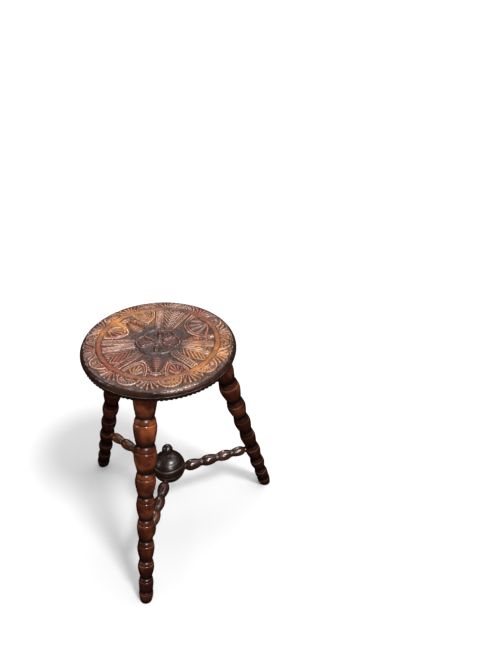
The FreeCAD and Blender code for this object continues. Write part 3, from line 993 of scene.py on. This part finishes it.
def carved_wood():
    """The seat: stained relief, dirt and painted shade in hollows, honey on the ring, black at the
    centre.
    """
    shader = Shader("carved_seat_wood")
    place = shader.node("ShaderNodeTexCoord").outputs["Object"]
    long_grain = shader.stretch(place, (0.16, 1.0, 1.0))
    figure = shader.noise(long_grain, 110.0, 5.0, 0.6, 0.3)
    fibre = shader.noise(long_grain, 850.0, 3.0, 0.6)
    patch = shader.noise(place, 30.0, 4.0, 0.6, 0.6)
    blotch = shader.noise(place, 75.0, 5.0, 0.65, 0.8)
    facet = shader.noise(place, 130.0, 3.0, 0.5, 0.3)
    speck = shader.noise(place, 260.0, 4.0, 0.65)
    mark = {name: shader.attribute(name) for name in SEAT_MARKS}
    unevenly = shader.ramp(patch, 0.36, 0.64, 0.25, 1.4)
    stained, honey, grey, rim_highlight = (
        shader.math("MULTIPLY", mark[name], unevenly) for name in ("red", "honey", "grey", "rim_highlight")
    )

    # the face, then the plain ring over it
    wood = shader.mix(shader.ramp(figure, 0.3, 0.7), BROWN_DARK, BROWN_LIGHT)
    wood = shader.mix(grey, wood, DUSTY_BROWN)
    wood = shader.mix(shader.ramp(blotch, 0.49, 0.60, 0.0, 0.8), wood, PLUM_BROWN)
    wood = shader.mix(honey, wood, HONEY)
    wood = shader.mix(stained, wood, RED_STAIN)
    ring = shader.mix(shader.ramp(figure, 0.35, 0.7), RING_LIGHT, RING_DARK)
    ring = shader.mix(grey, ring, DULL_RING)
    ring = shader.mix(stained, ring, RED_RING)
    ring = shader.mix(honey, ring, RING_BRIGHT)
    ring = shader.mix(shader.ramp(blotch, 0.48, 0.62, 0.0, 0.6), ring, RING_DARK)
    wood = shader.mix(mark["ring"], wood, ring)
    wood = shader.mix(shader.ramp(blotch, 0.48, 0.38, 0.0, 0.6), wood, DIRT_AND_SHADE_LIGHT)

    # black patina at the centre, weaker where the wood is red
    black = shader.mix(shader.ramp(speck, 0.35, 0.7), PATINA_DARK, PATINA_LIGHT)
    hold = shader.ramp(mark["red"], 0.0, 0.8, 0.85, 0.35)
    wood = shader.mix(shader.math("MULTIPLY", mark["patina"], hold), wood, black)

    # painted highlights on the crests, not on the ring and few on the patina
    crest_highlight_weight = shader.math("MULTIPLY", shader.ramp(mark["patina"], 0.0, 1.0, 1.0, 0.25), unevenly)
    crest_highlight_weight = shader.math("MULTIPLY", shader.ramp(mark["ring"], 0.0, 1.0, 1.0, 0.0), crest_highlight_weight)
    painted_highlight = shader.math("MULTIPLY", shader.ramp(mark["crest"], 0.2, 0.9, 0.0, 0.6), crest_highlight_weight)
    wood = shader.mix(painted_highlight, wood, CREST_HIGHLIGHT)

    # dirt and painted shade in what is cut away and in each hollow, then the dark rim and painted
    # shade on the band
    dirt_and_shade = shader.mix(shader.ramp(speck, 0.3, 0.7), DIRT_AND_SHADE_DARK, DIRT_AND_SHADE_LIGHT)
    wood = shader.mix(shader.ramp(mark["carved"], 0.35, 0.95, 0.0, 0.80), wood, dirt_and_shade)
    wood = shader.mix(shader.ramp(mark["hollow"], 0.10, 0.95, 0.0, 0.85), wood, dirt_and_shade)
    rim = shader.mix(shader.ramp(figure, 0.3, 0.7), RIM_DARK, RIM_LIGHT)
    # painted highlight on the rim
    rim = shader.mix(rim_highlight, rim, RIM_HIGHLIGHT_COLOUR)
    wood = shader.mix(mark["rim"], wood, rim)
    wood = shader.mix(mark["band"], wood, UNDER_RIM_SHADE)

    rough = shader.ramp(mark["carved"], 0.1, 0.9, 0.19, 0.5)
    rough = shader.math("ADD", rough, shader.math("MULTIPLY", mark["ring"], 0.28))
    rough = shader.math("SUBTRACT", rough, shader.math("MULTIPLY", mark["patina"], 0.08))
    rough = shader.math("ADD", rough, shader.ramp(speck, 0.3, 0.7, -0.06, 0.12))
    rough = shader.math("SUBTRACT", rough, shader.math("MULTIPLY", mark["rim"], 0.06))
    rough = shader.math("ADD", rough, shader.math("MULTIPLY", mark["band"], 0.45))
    normal = shader.bump(fibre, 0.08, 0.0005)
    normal = shader.bump(speck, 0.40, 0.0010, normal)
    normal = shader.bump(facet, 0.6, 0.0018, normal)
    shader.set(Base_Color=wood, Roughness=rough, Normal=normal, IOR=SEAT_IOR)
    return shader.material


# ---------------------------------------------------------------- stage, light and camera


def make_floor():
    """A plain pale floor, kept out of reflections so that polished wood stays dark."""
    bpy.ops.mesh.primitive_plane_add(size=FLOOR_SIZE, location=(0, 0, 0))
    floor = bpy.context.object
    floor.name = "floor"
    shader = Shader("pale_floor")
    shader.set(Base_Color=FLOOR_GREY, Roughness=0.9)
    floor.data.materials.append(shader.material)
    floor.visible_glossy = False


def make_world(strength):
    """A plain white backdrop that neither lights the stool nor shows in reflections."""
    world = bpy.data.worlds.new("studio")
    bpy.context.scene.world = world
    world.use_nodes = True
    world.cycles_visibility.diffuse = False
    world.cycles_visibility.glossy = False
    background = world.node_tree.nodes["Background"]
    background.inputs["Color"].default_value = (1, 1, 1, 1)
    background.inputs["Strength"].default_value = strength


def sun_light(name, azimuth, elevation, spread, strength, shadow=True):
    """A distant light, so the floor is evenly bright; a wide spread makes its shadow soft."""
    light = bpy.data.lights.new(name, "SUN")
    light.use_shadow = shadow
    light.angle = math.radians(spread)
    light.energy = strength
    lamp = bpy.data.objects.new(name, light)
    turn, rise = math.radians(azimuth), math.radians(elevation)
    level = math.cos(rise)
    towards = Vector((math.cos(turn) * level, math.sin(turn) * level, math.sin(rise)))
    lamp.location = towards * 3
    lamp.rotation_mode = "QUATERNION"
    lamp.rotation_quaternion = towards.to_track_quat("Z", "Y")
    bpy.context.scene.collection.objects.link(lamp)


def make_camera():
    camera = bpy.data.cameras.new("camera")
    camera.sensor_width = SENSOR_WIDTH
    camera.lens = CAMERA_LENS
    body = bpy.data.objects.new("camera", camera)
    body.matrix_world = (
        Matrix.Translation(CAMERA_PLACE)
        @ Matrix.Rotation(math.radians(CAMERA_YAW), 4, "Z")
        @ Matrix.Rotation(math.radians(90 - CAMERA_PITCH), 4, "X")
        @ Matrix.Rotation(math.radians(CAMERA_ROLL), 4, "Z")
    )
    bpy.context.scene.collection.objects.link(body)
    bpy.context.scene.camera = body


# ---------------------------------------------------------------- the scene

seat_wood = carved_wood()
leg_wood = turned_wood(
    "leg_wood",
    dark=(0.0170, 0.0050, 0.0034, 1),
    middle=(0.0780, 0.0200, 0.0090, 1),
    light=(0.2500, 0.0740, 0.0240, 1),
    crease_shade=(0.0054, 0.0020, 0.0014, 1),
    gloss=0.15,
)
# the leg wood made darker: painted shade for the two back legs
back_leg_wood_painted_shade = turned_wood(
    "back_leg_wood_painted_shade",
    dark=(0.0100, 0.0032, 0.0022, 1),
    middle=(0.0420, 0.0120, 0.0065, 1),
    light=(0.1000, 0.0300, 0.0135, 1),
    crease_shade=(0.0034, 0.0014, 0.0014, 1),
    gloss=0.11,
)
dark_rail_wood = turned_wood(
    "stretcher_wood_dark",
    dark=(0.0200, 0.0080, 0.0052, 1),
    middle=(0.0720, 0.0265, 0.0155, 1),
    light=(0.1750, 0.0720, 0.0430, 1),
    crease_shade=(0.0095, 0.0054, 0.0041, 1),
    gloss=0.18,
)
golden_rail_wood = turned_wood(
    "stretcher_wood_golden",
    dark=(0.0340, 0.0130, 0.0058, 1),
    middle=(0.1600, 0.0580, 0.0160, 1),
    light=(0.3000, 0.1300, 0.0380, 1),
    crease_shade=(0.0109, 0.0054, 0.0034, 1),
    gloss=0.14,
)
ball_wood = turned_wood(
    "hub_wood",
    dark=(0.0068, 0.0034, 0.0027, 1),
    middle=(0.0260, 0.0125, 0.0088, 1),
    light=(0.0600, 0.0290, 0.0200, 1),
    crease_shade=(0.0027, 0.0014, 0.0014, 1),
    gloss=0.25,
)

make_seat(seat_wood)
make_legs({"front": leg_wood, "right": back_leg_wood_painted_shade, "left": back_leg_wood_painted_shade})
make_rails({"front": dark_rail_wood, "right": dark_rail_wood, "left": golden_rail_wood})
make_ball_and_knob(ball_wood)

make_floor()
make_world(strength=0.9)
sun_light("key", azimuth=-36, elevation=58, spread=12, strength=2.75)
sun_light("front", azimuth=-60, elevation=36, spread=8, strength=1.7, shadow=False)
sun_light("right back", azimuth=112, elevation=36, spread=5, strength=0.5, shadow=False)
sun_light("left back", azimuth=196, elevation=24, spread=5, strength=0.6, shadow=False)
sun_light("soft overhead", azimuth=40, elevation=76, spread=80, strength=3.25)
make_camera()

# plain display colours with somewhat stronger contrast
bpy.context.scene.view_settings.view_transform = "Standard"
bpy.context.scene.view_settings.look = "Medium High Contrast"
